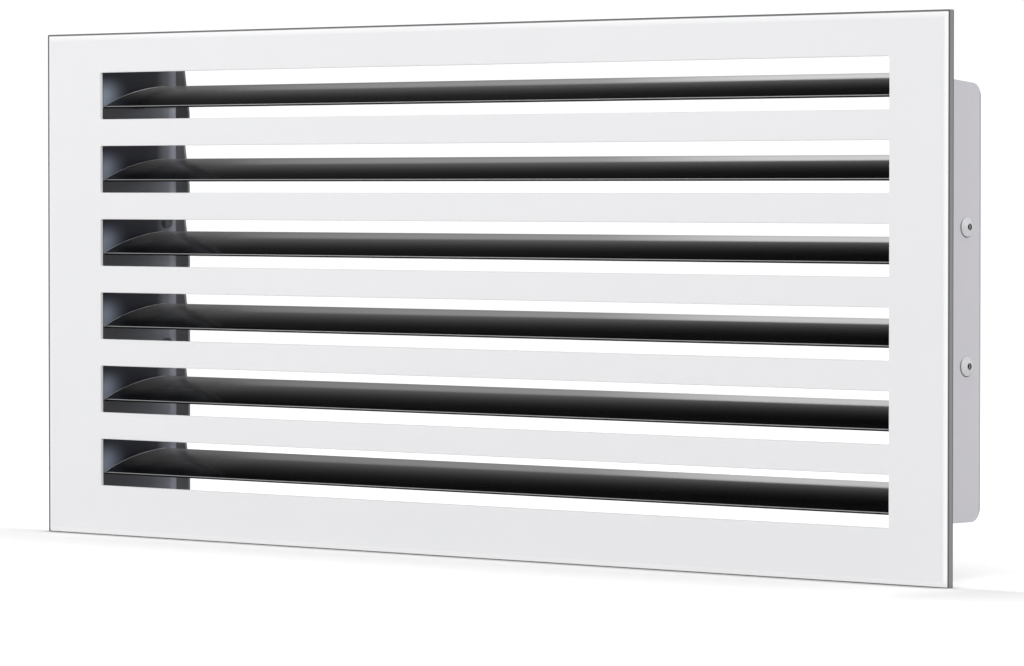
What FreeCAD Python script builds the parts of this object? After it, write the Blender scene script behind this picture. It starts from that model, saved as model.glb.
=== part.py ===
"""Louvred vent cover: a white folded faceplate with six slots, and behind it a cassette of six
curved black blades that tip on riveted pivots.

Millimetres. X runs along the slots, Y towards the duct and Z up. The origin is the middle of the
wall plane, which is where the rear edge of the folded rim touches the wall.
"""
import FreeCAD, Part
import Sketcher
import os
import re

doc = FreeCAD.newDocument("vent_cover")
sizes = doc.addObject("Spreadsheet::Sheet", "sizes")

SIZES = [
    # faceplate: its margins round the slots set its width and height, 450.9 by 196.9
    ("margin_beside_slots", 28.25),
    ("margin_above_slots", 17.425),
    ("sheet_thickness", 1.2),
    ("rim_depth", 3.0),
    ("fold_outside_radius", 0.5),
    ("fold_inside_radius", 0.2),
    # the face slopes back a little all round, next to the fold
    ("slope_width", 2.6),
    ("slope_drop", 0.35),
    # slots: their middle sits a little off the middle of the plate
    ("slot_count", 6),
    ("slot_length", 394.4),
    ("slot_height", 18.3),
    ("slot_pitch", 28.75),
    ("slot_shift_side", 2.6),
    ("slot_shift_up", 2.0),
    ("slot_corner_radius", 0.6),
    ("slot_edge_bevel", 0.2),
    # side brackets, which stand on the back of the faceplate
    ("bracket_thickness", 1.2),
    ("bracket_depth", 44.6),
    ("bracket_flange", 15.2),
    ("bracket_bend_inside", 0.8),
    ("bracket_top_inset", 4.8),
    ("bracket_top_drop", 4.2),
    ("bracket_foot_inset", 0.4),
    ("bracket_corner_radius", 5.0),
    ("pivot_clearance_hole", 5.4),
    # end plates, inside the brackets: the left one reaches past the slots at its top and foot
    ("end_plate_thickness", 1.0),
    ("end_plate_bend_inside", 0.5),
    ("end_plate_inset", 1.5),
    ("left_plate_above_slots", 2.4),
    ("left_plate_below_slots", 4.2),
    ("end_plate_beyond_slot", 2.2),
    ("end_plate_front_gap", 0.5),
    ("lip_width", 7.8),
    ("lip_width_at_bar", 4.5),
    ("lip_taper_height", 20.8),
    # blades
    ("blade_thickness", 1.0),
    ("blade_radius", 85.0),
    ("blade_front_gap", 1.2),
    ("blade_depth", 32.8),
    ("blade_crest_depth", 37.1),
    ("blade_crest_above_slot", 13.6),
    ("blade_to_end_plate", 1.5),
    ("blade_edge_rounding", 0.45),
    # clips welded under the ends of each blade, each with an ear bent down for the pivot
    ("clip_thickness", 0.8),
    ("clip_width", 9.0),
    ("clip_length", 11.0),
    ("clip_bend_inside", 0.4),
    ("clip_weld_gap", 0.1),
    ("ear_below_pivot", 2.4),
    ("ear_corner_radius", 2.5),
    # pivots
    ("pivot_depth", 19.8),
    ("pivot_above_slot", 6.9),
    ("pivot_diameter", 2.8),
    ("pivot_radial_clearance", 0.05),
    ("pivot_head_diameter", 4.4),
    ("pivot_head_height", 0.9),
    ("pivot_tail_diameter", 4.4),
    ("pivot_tail_height", 0.8),
    ("pivot_end_play", 0.1),
    ("bush_diameter", 5.0),
    # blind rivets between bracket and end plate
    ("rivet_spacing", 48.5),
    ("rivet_from_front", 36.8),
    ("rivet_diameter", 3.2),
    ("rivet_head_diameter", 6.8),
    ("rivet_head_height", 1.35),
    ("rivet_head_rim", 0.3),
    ("rivet_dome_radius", 5.6),
    ("rivet_bore_diameter", 2.0),
    ("rivet_tail_diameter", 4.6),
    ("rivet_tail_length", 0.9),
    ("mandrel_recess", 1.2),
    ("mandrel_tip_height", 0.7),
    ("mandrel_head_diameter", 3.4),
    ("mandrel_head_length", 0.3),
]

for row, (alias, value) in enumerate(SIZES, start=1):
    sizes.set("A%d" % row, alias)
    sizes.set("B%d" % row, str(value))
    sizes.setAlias("B%d" % row, alias)
doc.recompute()


ALIASES = [alias for alias, value in SIZES]
TOLERANCE = 0.01


def bound(text):
    """An expression with each size written as its place in the sheet."""
    return re.sub("[a-z_]+", lambda word: "sizes." + word[0] if word[0] in ALIASES else word[0], text)


def number(text):
    """The value that an expression has now, for a first outline or to find an edge."""
    return float(sizes.evalExpression(bound(text)))


# Places that several pieces share, as expressions in the sheet's sizes.
# Depths run back from the wall plane, and heights up from the middle of the slots.
PLATE_BACK = "( sheet_thickness - rim_depth )"
HALF_WIDTH = "( slot_length / 2 + margin_beside_slots )"
SLOT_FIELD_HALF = "( ( ( slot_count - 1 ) * slot_pitch + slot_height ) / 2 )"
FIRST_SLOT_MIDDLE = "( ( slot_count - 1 ) * slot_pitch / 2 )"
HALF_HEIGHT = "( " + SLOT_FIELD_HALF + " + margin_above_slots )"
END_PLATE_FACE = "( slot_length / 2 + end_plate_beyond_slot )"
BRACKET_FACE = "( " + END_PLATE_FACE + " + end_plate_thickness )"
BRACKET_OUTSIDE = "( " + BRACKET_FACE + " + bracket_thickness )"
BRACKET_REAR = "( " + PLATE_BACK + " + bracket_depth )"
BRACKET_TOP = "( " + SLOT_FIELD_HALF + " - bracket_top_inset )"
BRACKET_BOTTOM = "( bracket_foot_inset - " + SLOT_FIELD_HALF + " )"
END_PLATE_REAR = "( " + BRACKET_REAR + " - end_plate_inset )"
BLADE_END = "( " + END_PLATE_FACE + " - blade_to_end_plate )"
BLADE_FRONT = "( " + PLATE_BACK + " + blade_front_gap )"
PIVOT_DEPTH = "( " + PLATE_BACK + " + pivot_depth )"
RIVET_DEPTH = "( " + PLATE_BACK + " + rivet_from_front )"
SLOT_FLOOR = "( 0 - slot_height / 2 )"
PIVOT_HEIGHT = "( " + SLOT_FLOOR + " + pivot_above_slot )"
BLADE_REAR = "( " + BLADE_FRONT + " + blade_depth )"
CREST_DEPTH = "( " + BLADE_FRONT + " + blade_crest_depth )"
ROLL_CENTRE = "( " + SLOT_FLOOR + " + blade_crest_above_slot - blade_radius )"
EAR_INSIDE = "( " + BLADE_END + " - clip_thickness )"
CLIP_TOP_RADIUS = "( blade_radius - blade_thickness - clip_weld_gap )"
CLIP_UNDER_RADIUS = "( " + CLIP_TOP_RADIUS + " - clip_thickness )"


def new_body(name):
    body = doc.addObject("PartDesign::Body", name)
    body.Label = name
    return body


def origin_feature(body, role):
    return [feature for feature in body.Origin.OriginFeatures if feature.Role == role][0]


def new_sketch(body, name, role, offset=None):
    """A sketch on one of the body's origin planes, lifted along the plane's normal by an expression."""
    sketch = body.newObject("Sketcher::SketchObject", name)
    sketch.AttachmentSupport = [(origin_feature(body, role), "")]
    sketch.MapMode = "FlatFace"
    if offset:
        sketch.setExpression("AttachmentOffset.Base.z", bound(offset))
    return sketch


def hold(sketch, kind, geometry, point, text, name):
    """Hold a point of the sketch at a distance from its origin that follows the sheet."""
    axis = "DistanceX" if kind == "x" else "DistanceY"
    index = sketch.addConstraint(Sketcher.Constraint(axis, -1, 1, geometry, point, number(text)))
    sketch.renameConstraint(index, name)
    sketch.setExpression("Constraints." + name, bound(text))


def arc_between(first, last, radius, side):
    """An arc of a circle from one point to another, its centre on the left (1) or right (-1)."""
    chord = last - first
    half = chord.Length / 2
    rise = radius - (radius ** 2 - half ** 2) ** 0.5
    outwards = FreeCAD.Vector(chord.y, -chord.x, 0).normalize() * side
    return Part.Arc(first, first + chord / 2 + outwards * rise, last)


def outline(sketch, corners, arcs=None):
    """A closed outline, anticlockwise, each corner given as two expressions.

    The sides are straight, apart from those in arcs: corner number, radius and centre's side.
    """
    arcs = arcs or {}
    places = [FreeCAD.Vector(number(across), number(along), 0) for across, along in corners]
    count = len(places)
    starts = []
    ends = []
    for index in range(count):
        place_after = places[(index + 1) % count]
        radius, side = arcs.get(index, (None, 1))
        if radius:
            sketch.addGeometry(arc_between(places[index], place_after, number(radius), side), False)
        else:
            sketch.addGeometry(Part.LineSegment(places[index], place_after), False)
        starts.append(1 if side == 1 else 2)
        ends.append(2 if side == 1 else 1)
    for index in range(count):
        after = (index + 1) % count
        sketch.addConstraint(Sketcher.Constraint("Coincident", index, ends[index], after, starts[after]))
    for index, (across, along) in enumerate(corners):
        hold(sketch, "x", index, starts[index], across, "across_%d" % index)
        hold(sketch, "y", index, starts[index], along, "along_%d" % index)
    for index, (radius, side) in arcs.items():
        rule = sketch.addConstraint(Sketcher.Constraint("Radius", index, number(radius)))
        sketch.renameConstraint(rule, "radius_%d" % index)
        sketch.setExpression("Constraints.radius_%d" % index, bound(radius))


def rectangle(sketch, left, foot, right, head):
    outline(sketch, [(left, foot), (right, foot), (right, head), (left, head)])


def circle(sketch, across, along, diameter):
    """A circle whose middle and diameter follow the sheet."""
    index = sketch.GeometryCount
    middle = FreeCAD.Vector(number(across), number(along), 0)
    normal = FreeCAD.Vector(0, 0, 1)
    sketch.addGeometry(Part.Circle(middle, normal, number(diameter) / 2), False)
    hold(sketch, "x", index, 3, across, "across_%d" % index)
    hold(sketch, "y", index, 3, along, "along_%d" % index)
    rule = sketch.addConstraint(Sketcher.Constraint("Diameter", index, number(diameter)))
    sketch.renameConstraint(rule, "diameter_%d" % index)
    sketch.setExpression("Constraints.diameter_%d" % index, bound(diameter))


def pad(body, sketch, name, length, both_ways=False, reverse=False):
    feature = body.newObject("PartDesign::Pad", name)
    feature.Profile = sketch
    feature.SideType = "Symmetric" if both_ways else "One side"
    feature.Reversed = reverse
    feature.setExpression("Length", bound(length))
    doc.recompute()
    return feature


def pocket(body, sketch, name, length=None, reverse=False):
    """A cut of a stated depth, or one that goes right through both ways."""
    feature = body.newObject("PartDesign::Pocket", name)
    feature.Profile = sketch
    if length:
        feature.Reversed = reverse
        feature.setExpression("Length", bound(length))
    else:
        feature.SideType = "Symmetric"
        feature.Type = "ThroughAll"
    before = feature.BaseFeature.Shape.Volume
    doc.recompute()
    if not feature.Shape.Volume < before:
        raise RuntimeError(name + " cuts nothing")
    return feature


def repeat_downwards(body, feature, name):
    """The feature once for each slot, from the top slot down."""
    pattern = body.newObject("PartDesign::LinearPattern", name)
    pattern.Originals = [feature]
    pattern.Direction = (origin_feature(body, "Z_Axis"), [""])
    pattern.Reversed = True
    pattern.Mode = "Spacing"
    pattern.setExpression("Offset", bound("slot_pitch"))
    pattern.setExpression("Occurrences", bound("slot_count"))
    body.Tip = pattern
    doc.recompute()
    return pattern


def edges_where(feature, test):
    """The names of the feature's edges that pass a test of their two ends."""
    names = []
    for index, edge in enumerate(feature.Shape.Edges, start=1):
        ends = [vertex.Point for vertex in edge.Vertexes]
        if len(ends) == 2 and test(ends[0], ends[1]):
            names.append("Edge%d" % index)
    return names


def round_edges(body, feature, name, radius, test):
    fillet = body.newObject("PartDesign::Fillet", name)
    fillet.Base = (feature, edges_where(feature, test))
    fillet.setExpression("Radius", bound(radius))
    doc.recompute()
    return fillet


def bevel_edges(body, feature, name, size, size_back, test):
    """A bevel that cuts one distance along the face and another into the thickness."""
    bevel = body.newObject("PartDesign::Chamfer", name)
    bevel.Base = (feature, edges_where(feature, test))
    bevel.ChamferType = "Two distances"
    bevel.FlipDirection = True
    bevel.setExpression("Size", bound(size))
    bevel.setExpression("Size2", bound(size_back))
    doc.recompute()
    return bevel


def turned(name, corners, arcs=None):
    """A piece turned about the X axis, from its section as distances along and out from the axis."""
    body = new_body(name)
    sketch = new_sketch(body, name + "_section", "XY_Plane")
    outline(sketch, corners, arcs)
    feature = body.newObject("PartDesign::Revolution", name + "_turned")
    feature.Profile = sketch
    feature.ReferenceAxis = (origin_feature(body, "X_Axis"), [""])
    doc.recompute()
    return body


def near(value, target):
    return abs(value - target) < TOLERANCE


def runs_along(axis, first, last):
    """Whether an edge runs along one axis only."""
    move = last - first
    parts = {"x": move.x, "y": move.y, "z": move.z}
    length = abs(parts.pop(axis))
    return length > TOLERANCE and all(near(part, 0) for part in parts.values())


def place(piece, depth, up):
    """Set a piece behind the slots: across from their middle, back from the wall plane, and up."""
    piece.setExpression("Placement.Base.x", bound("slot_shift_side"))
    piece.setExpression("Placement.Base.y", bound(depth))
    piece.setExpression("Placement.Base.z", bound(up))
    doc.recompute()


def mirrored(source, name, axis):
    """The same piece handed about the middle of the slots, or about the wall plane's middle height."""
    copy = doc.addObject("Part::Mirroring", name)
    copy.Label = name
    copy.Source = source
    copy.Normal = FreeCAD.Vector(1, 0, 0) if axis == "x" else FreeCAD.Vector(0, 0, 1)
    if axis == "x":
        copy.setExpression("Base.x", bound("slot_shift_side"))
    doc.recompute()
    return copy


def group(name, pieces):
    """Loose identical pieces that share one node."""
    together = doc.addObject("Part::Compound", name)
    together.Label = name
    together.Links = pieces
    doc.recompute()
    return together


def make_faceplate():
    """One steel sheet, its edge folded back to the wall all round, with six long slots."""
    body = new_body("faceplate")
    sketch = new_sketch(body, "plate_outline", "XZ_Plane")
    rectangle(sketch, "0 - " + HALF_WIDTH, "0 - " + HALF_HEIGHT, HALF_WIDTH, HALF_HEIGHT)
    plate = pad(body, sketch, "plate", "rim_depth")
    front = -number("rim_depth")
    slope = bevel_edges(body, plate, "edge_slope", "slope_width", "slope_drop",
                        lambda a, b: near(a.y, front) and near(b.y, front))
    slope_foot = front + number("slope_drop")
    round_edges(
        body, slope, "rim_folds", "fold_outside_radius",
        lambda a, b: runs_along("y", a, b) or (near(a.y, slope_foot) and near(b.y, slope_foot)))

    hollow_side = "( " + HALF_WIDTH + " - sheet_thickness )"
    hollow_top = "( " + HALF_HEIGHT + " - sheet_thickness )"
    sketch = new_sketch(body, "hollow_outline", "XZ_Plane")
    rectangle(sketch, "0 - " + hollow_side, "0 - " + hollow_top, hollow_side, hollow_top)
    hollow = pocket(body, sketch, "hollow", "rim_depth - sheet_thickness", reverse=True)
    inner_x = number(hollow_side)
    inner_z = number(hollow_top)
    back = number(PLATE_BACK)

    def in_hollow(point):
        return near(abs(point.x), inner_x) and near(abs(point.z), inner_z)

    round_edges(
        body, hollow, "hollow_folds", "fold_inside_radius",
        lambda a, b: in_hollow(a) and in_hollow(b)
        and (runs_along("y", a, b) or (near(a.y, back) and near(b.y, back))))

    left = "slot_shift_side - slot_length / 2"
    right = "slot_shift_side + slot_length / 2"
    bottom = "slot_shift_up + " + FIRST_SLOT_MIDDLE + " - slot_height / 2"
    top = "slot_shift_up + " + FIRST_SLOT_MIDDLE + " + slot_height / 2"
    sketch = new_sketch(body, "slot_outline", "XZ_Plane")
    rectangle(sketch, left, bottom, right, top)
    slot = pocket(body, sketch, "top_slot")
    slots = repeat_downwards(body, slot, "slots")
    ends = [number(left), number(right)]
    slot_corners = round_edges(
        body, slots, "slot_corners", "slot_corner_radius",
        lambda a, b: runs_along("y", a, b) and (near(a.x, ends[0]) or near(a.x, ends[1])))
    rim_x = inner_x - number("slope_width")
    rim_z = inner_z - number("slope_width")

    def on_front(point):
        return near(point.y, front) and abs(point.x) < rim_x and abs(point.z) < rim_z

    bevel_edges(body, slot_corners, "slot_edges", "slot_edge_bevel", "slot_edge_bevel",
                lambda a, b: on_front(a) and on_front(b))
    return body


def slope_top(body, name, top):
    """A straight cut that lets the top edge fall from a height at the faceplate towards the rear."""
    rear_height = top + " - bracket_top_drop"
    above = top + " + bracket_thickness"
    sketch = new_sketch(body, name + "_outline", "YZ_Plane")
    outline(sketch, [(PLATE_BACK, top), (BRACKET_REAR, rear_height), (BRACKET_REAR, above),
                     (PLATE_BACK, above)])
    return pocket(body, sketch, name)


def make_side_bracket():
    """The right pale grey bracket: a flange on the back of the faceplate and a web into the duct."""
    body = new_body("side_bracket_right")
    flange_end = BRACKET_FACE + " + bracket_flange"
    flange_back = PLATE_BACK + " + bracket_thickness"
    sketch = new_sketch(body, "bracket_section", "XY_Plane", BRACKET_BOTTOM)
    outline(sketch, [(BRACKET_FACE, PLATE_BACK), (flange_end, PLATE_BACK), (flange_end, flange_back),
                     (BRACKET_OUTSIDE, flange_back), (BRACKET_OUTSIDE, BRACKET_REAR),
                     (BRACKET_FACE, BRACKET_REAR)])
    pad(body, sketch, "bracket_strip", BRACKET_TOP + " - " + BRACKET_BOTTOM)
    strip = slope_top(body, "bracket_slope", BRACKET_TOP)

    inside = number(BRACKET_OUTSIDE)
    behind = number(flange_back)
    inner_bend = round_edges(
        body, strip, "bracket_inner_bend", "bracket_bend_inside",
        lambda a, b: runs_along("z", a, b) and near(a.x, inside) and near(a.y, behind))
    face = number(BRACKET_FACE)
    front = number(PLATE_BACK)
    outer_bend = round_edges(
        body, inner_bend, "bracket_outer_bend", "bracket_bend_inside + bracket_thickness",
        lambda a, b: runs_along("z", a, b) and near(a.x, face) and near(a.y, front))
    rear = number(BRACKET_REAR)
    far_side = number(flange_end)
    rear_corners = round_edges(body, outer_bend, "bracket_rear_corners", "bracket_corner_radius",
                               lambda a, b: runs_along("x", a, b) and near(a.y, rear))
    round_edges(body, rear_corners, "bracket_flange_corners", "bracket_corner_radius",
                lambda a, b: runs_along("y", a, b) and near(a.x, far_side))

    sketch = new_sketch(body, "pivot_clearance", "YZ_Plane")
    circle(sketch, PIVOT_DEPTH, FIRST_SLOT_MIDDLE + " + " + PIVOT_HEIGHT, "pivot_clearance_hole")
    hole = pocket(body, sketch, "top_pivot_clearance")
    repeat_downwards(body, hole, "pivot_clearances")
    cut_rivet_holes(body)
    place(body, "0", "slot_shift_up")
    return body


def cut_rivet_holes(body):
    """Two rivet holes, one above the middle of the faceplate and one as far below it."""
    sketch = new_sketch(body, "rivet_hole_outline", "YZ_Plane")
    circle(sketch, RIVET_DEPTH, "rivet_spacing / 2 - slot_shift_up", "rivet_diameter")
    circle(sketch, RIVET_DEPTH, "0 - rivet_spacing / 2 - slot_shift_up", "rivet_diameter")
    pocket(body, sketch, "rivet_holes")


def make_end_plate(name, bottom, top):
    """A black end plate, drawn for the right end: a web on the bracket, and a lip turned in at the rear."""
    body = new_body(name)
    web_front = PLATE_BACK + " + bracket_bend_inside + bracket_thickness + end_plate_front_gap"
    lip_front = END_PLATE_REAR + " - end_plate_thickness"
    lip_edge = BRACKET_FACE + " - lip_width"
    sketch = new_sketch(body, "end_plate_section", "XY_Plane", bottom)
    outline(sketch, [(END_PLATE_FACE, web_front), (BRACKET_FACE, web_front), (BRACKET_FACE, END_PLATE_REAR),
                     (lip_edge, END_PLATE_REAR), (lip_edge, lip_front), (END_PLATE_FACE, lip_front)])
    strip = pad(body, sketch, "end_plate_strip", "( " + top + " ) - ( " + bottom + " )")
    face = number(END_PLATE_FACE)
    inner = number(lip_front)
    inner_bend = round_edges(
        body, strip, "lip_inner_bend", "end_plate_bend_inside",
        lambda a, b: runs_along("z", a, b) and near(a.x, face) and near(a.y, inner))
    outside = number(BRACKET_FACE)
    rear = number(END_PLATE_REAR)
    round_edges(
        body, inner_bend, "lip_outer_bend", "end_plate_bend_inside + end_plate_thickness",
        lambda a, b: runs_along("z", a, b) and near(a.x, outside) and near(a.y, rear))

    # the lip is narrow behind each bar and widens to its full width beside each blade
    narrow_edge = BRACKET_FACE + " - lip_width_at_bar"
    beyond_edge = lip_edge + " - end_plate_thickness"
    bay_top = FIRST_SLOT_MIDDLE + " + slot_pitch / 2"
    bay_foot = bay_top + " - lip_taper_height"
    sketch = new_sketch(body, "lip_taper_outline", "XZ_Plane")
    outline(sketch, [(beyond_edge, bay_foot), (lip_edge, bay_foot), (narrow_edge, bay_top),
                     (beyond_edge, bay_top)])
    taper = pocket(body, sketch, "top_lip_taper")
    repeat_downwards(body, taper, "lip_tapers")

    sketch = new_sketch(body, "pivot_hole_outline", "YZ_Plane")
    circle(sketch, PIVOT_DEPTH, FIRST_SLOT_MIDDLE + " + " + PIVOT_HEIGHT,
           "pivot_diameter + 2 * pivot_radial_clearance")
    hole = pocket(body, sketch, "top_pivot_hole")
    repeat_downwards(body, hole, "pivot_holes")
    cut_rivet_holes(body)
    place(body, "0", "slot_shift_up")
    return body


def slot_middle(index):
    """The height of a slot's middle above the middle of the faceplate, counted from the top slot."""
    return "slot_shift_up + " + FIRST_SLOT_MIDDLE + " - %d * slot_pitch" % (index - 1)


def on_roll(depth, radius):
    """The height at a depth on a circle about the centre that the blade is rolled round."""
    return ROLL_CENTRE + " + sqrt( ( " + radius + " ) ^ 2 - ( " + depth + " - " + CREST_DEPTH + " ) ^ 2 )"


def on_radius(depth, radius, new_radius):
    """The point on another radius that faces the point at a depth on the first one."""
    share = " * ( " + new_radius + " ) / ( " + radius + " )"
    across = CREST_DEPTH + " + ( " + depth + " - " + CREST_DEPTH + " )" + share
    up = ROLL_CENTRE + " + ( " + on_roll(depth, radius) + " - " + ROLL_CENTRE + " )" + share
    return across, up


def make_blade(index):
    """One curved blade: a plain strip of sheet rolled to a single arc, with its long edges rounded."""
    body = new_body("blade_%d" % index)
    inner_radius = "( blade_radius - blade_thickness )"
    sketch = new_sketch(body, "blade_section_%d" % index, "YZ_Plane")
    outline(sketch, [(BLADE_REAR, on_roll(BLADE_REAR, "blade_radius")),
                     (BLADE_FRONT, on_roll(BLADE_FRONT, "blade_radius")),
                     on_radius(BLADE_FRONT, "blade_radius", inner_radius),
                     on_radius(BLADE_REAR, "blade_radius", inner_radius)],
            {0: ("blade_radius", 1), 2: (inner_radius, -1)})
    sheet = pad(body, sketch, "blade_sheet_%d" % index, "2 * " + BLADE_END, both_ways=True)
    round_edges(body, sheet, "blade_long_edges_%d" % index, "blade_edge_rounding",
                lambda a, b: runs_along("x", a, b))
    place(body, "0", slot_middle(index))
    return body


def make_pivot_clips(index):
    """The two clips welded under a blade's ends: a rolled flange, and an ear bent down for the pivot."""
    body = new_body("pivot_clip_right_%d" % index)
    before = "( " + PIVOT_DEPTH + " - clip_width / 2 )"
    behind = "( " + PIVOT_DEPTH + " + clip_width / 2 )"
    foot = PIVOT_HEIGHT + " - ear_below_pivot"
    middle_radius = "( " + CLIP_TOP_RADIUS + " - clip_thickness / 2 )"
    sketch = new_sketch(body, "clip_flange_section_%d" % index, "YZ_Plane",
                        BLADE_END + " - clip_length")
    outline(sketch, [(behind, on_roll(behind, CLIP_TOP_RADIUS)), (before, on_roll(before, CLIP_TOP_RADIUS)),
                     (before, on_roll(before, CLIP_UNDER_RADIUS)),
                     (behind, on_roll(behind, CLIP_UNDER_RADIUS))],
            {0: (CLIP_TOP_RADIUS, 1), 2: (CLIP_UNDER_RADIUS, -1)})
    pad(body, sketch, "clip_flange_%d" % index, "clip_length")
    sketch = new_sketch(body, "ear_outline_%d" % index, "YZ_Plane", EAR_INSIDE)
    outline(sketch, [(before, foot), (behind, foot), (behind, on_roll(behind, middle_radius)),
                     (before, on_roll(before, middle_radius))], {2: (middle_radius, 1)})
    ear = pad(body, sketch, "ear_%d" % index, "clip_thickness")

    centre = FreeCAD.Vector(0, number(CREST_DEPTH), number(ROLL_CENTRE))

    def on_arc(point, across, radius):
        from_centre = FreeCAD.Vector(0, point.y, point.z) - centre
        return near(point.x, across) and near(from_centre.Length, radius)

    inside = number(EAR_INSIDE)
    under = number(CLIP_UNDER_RADIUS)
    inner_bend = round_edges(body, ear, "clip_inner_bend_%d" % index, "clip_bend_inside",
                             lambda a, b: on_arc(a, inside, under) and on_arc(b, inside, under))
    outside = number(BLADE_END)
    above = number(CLIP_TOP_RADIUS)
    outer_bend = round_edges(body, inner_bend, "clip_outer_bend_%d" % index,
                             "clip_bend_inside + clip_thickness",
                             lambda a, b: on_arc(a, outside, above) and on_arc(b, outside, above))
    lowest = number(foot)
    round_edges(body, outer_bend, "ear_corners_%d" % index, "ear_corner_radius",
                lambda a, b: runs_along("x", a, b) and near(a.z, lowest))
    sketch = new_sketch(body, "ear_hole_outline_%d" % index, "YZ_Plane")
    circle(sketch, PIVOT_DEPTH, PIVOT_HEIGHT, "pivot_diameter")
    pocket(body, sketch, "ear_hole_%d" % index)
    place(body, "0", slot_middle(index))
    return group("pivot_clips_%d" % index, [body, mirrored(body, "pivot_clip_left_%d" % index, "x")])


def make_pivot_rivets(index):
    """The two shouldered rivets that a blade tips on: head inside the ear, tail outside the end plate."""
    shank = "pivot_diameter / 2"
    head = "pivot_head_diameter / 2"
    tail = "pivot_tail_diameter / 2"
    head_face = EAR_INSIDE + " - pivot_head_height"
    tail_face = BRACKET_FACE + " + pivot_end_play"
    tail_end = tail_face + " + pivot_tail_height"
    right = turned("pivot_rivet_right_%d" % index,
                   [(head_face, "0"), (tail_end, "0"), (tail_end, tail), (tail_face, tail),
                    (tail_face, shank), (EAR_INSIDE, shank), (EAR_INSIDE, head), (head_face, head)])
    place(right, PIVOT_DEPTH, slot_middle(index) + " + " + PIVOT_HEIGHT)
    return group("pivot_rivets_%d" % index, [right, mirrored(right, "pivot_rivet_left_%d" % index, "x")])


def make_pivot_bushes(index):
    """The two plain bushes that keep a blade's clips clear of the end plates and give it its grip."""
    bore = "pivot_diameter / 2"
    outside = "bush_diameter / 2"
    far_end = END_PLATE_FACE + " - pivot_end_play"
    right = turned("pivot_bush_right_%d" % index,
                   [(BLADE_END, bore), (far_end, bore), (far_end, outside), (BLADE_END, outside)])
    place(right, PIVOT_DEPTH, slot_middle(index) + " + " + PIVOT_HEIGHT)
    return group("pivot_bushes_%d" % index, [right, mirrored(right, "pivot_bush_left_%d" % index, "x")])


def four_of(name, piece):
    """A piece at its place on the right end plate, and its fellows below it and on the left."""
    below = mirrored(piece, name + "_right_lower", "z")
    return group(name, [piece, below, mirrored(piece, name + "_left_upper", "x"),
                        mirrored(below, name + "_left_lower", "x")])


def make_blind_rivets():
    """Hollow domed rivets that join each bracket to its end plate, set from outside."""
    bore = "rivet_bore_diameter / 2"
    shank = "rivet_diameter / 2"
    head = "rivet_head_diameter / 2"
    tail = "rivet_tail_diameter / 2"
    head_top = BRACKET_OUTSIDE + " + rivet_head_height"
    rim_top = BRACKET_OUTSIDE + " + rivet_head_rim"
    tail_end = END_PLATE_FACE + " - rivet_tail_length"
    upper = turned("blind_rivet_right_upper",
                   [(tail_end, bore), (head_top, bore), (rim_top, head), (BRACKET_OUTSIDE, head),
                    (BRACKET_OUTSIDE, shank), (END_PLATE_FACE, shank), (END_PLATE_FACE, tail),
                    (tail_end, tail)], {1: ("rivet_dome_radius", 1)})
    place(upper, RIVET_DEPTH, "rivet_spacing / 2")
    return four_of("blind_rivets", upper)


def make_rivet_mandrels():
    """The broken pulling pin that stays in each blind rivet, its broken end rounded."""
    bore = "rivet_bore_diameter / 2"
    head = "mandrel_head_diameter / 2"
    tail_end = END_PLATE_FACE + " - rivet_tail_length"
    head_end = tail_end + " - mandrel_head_length"
    tip = BRACKET_OUTSIDE + " + rivet_head_height - mandrel_recess"
    tip_foot = tip + " - mandrel_tip_height"
    tip_radius = "( ( rivet_bore_diameter / 2 ) ^ 2 + mandrel_tip_height ^ 2 ) / ( 2 * mandrel_tip_height )"
    upper = turned("rivet_mandrel_right_upper",
                   [(head_end, "0"), (tip, "0"), (tip_foot, bore), (tail_end, bore),
                    (tail_end, head), (head_end, head)], {1: (tip_radius, 1)})
    place(upper, RIVET_DEPTH, "rivet_spacing / 2")
    return four_of("rivet_mandrels", upper)


def all_pieces():
    bracket = make_side_bracket()
    tall_plate = make_end_plate("tall_end_plate", "0 - " + SLOT_FIELD_HALF + " - left_plate_below_slots",
                                SLOT_FIELD_HALF + " + left_plate_above_slots")
    low_top = BRACKET_TOP + " - end_plate_inset"
    low_plate = make_end_plate("end_plate_right", BRACKET_BOTTOM + " + end_plate_inset", low_top)
    slope_top(low_plate, "end_plate_slope", low_top)
    pieces = [make_faceplate(), bracket, mirrored(bracket, "side_bracket_left", "x"), low_plate,
              mirrored(tall_plate, "end_plate_left", "x"), make_blind_rivets(), make_rivet_mandrels()]
    for index in range(1, int(number("slot_count")) + 1):
        pieces += [make_blade(index), make_pivot_clips(index),
                   make_pivot_rivets(index), make_pivot_bushes(index)]
    return pieces


def check(pieces):
    """Stop if an object of the document has failed or a piece has no valid shape."""
    failed = [thing.Label for thing in doc.Objects if {"Invalid", "Error"} & set(thing.State)]
    failed += [piece.Label for piece in pieces if piece.Shape.isNull() or not piece.Shape.isValid()]
    if failed:
        raise RuntimeError("these did not build: " + ", ".join(failed))


def write(pieces):
    os.makedirs("parts", exist_ok=True)
    for piece in pieces:
        piece.Shape.exportStep("parts/" + piece.Label + ".step")
        box = piece.Shape.BoundBox
        print("%-20s %d solids %9.1f mm3, %.1f x %.1f x %.1f" % (
            piece.Label, len(piece.Shape.Solids), piece.Shape.Volume,
            box.XLength, box.YLength, box.ZLength))


pieces = all_pieces()
check(pieces)
write(pieces)
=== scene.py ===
"""A white steel vent cover with six slots and a tipping black blade behind each, on a pale floor."""
import bpy
import bmesh
import math
from mathutils import Matrix, Vector

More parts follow.
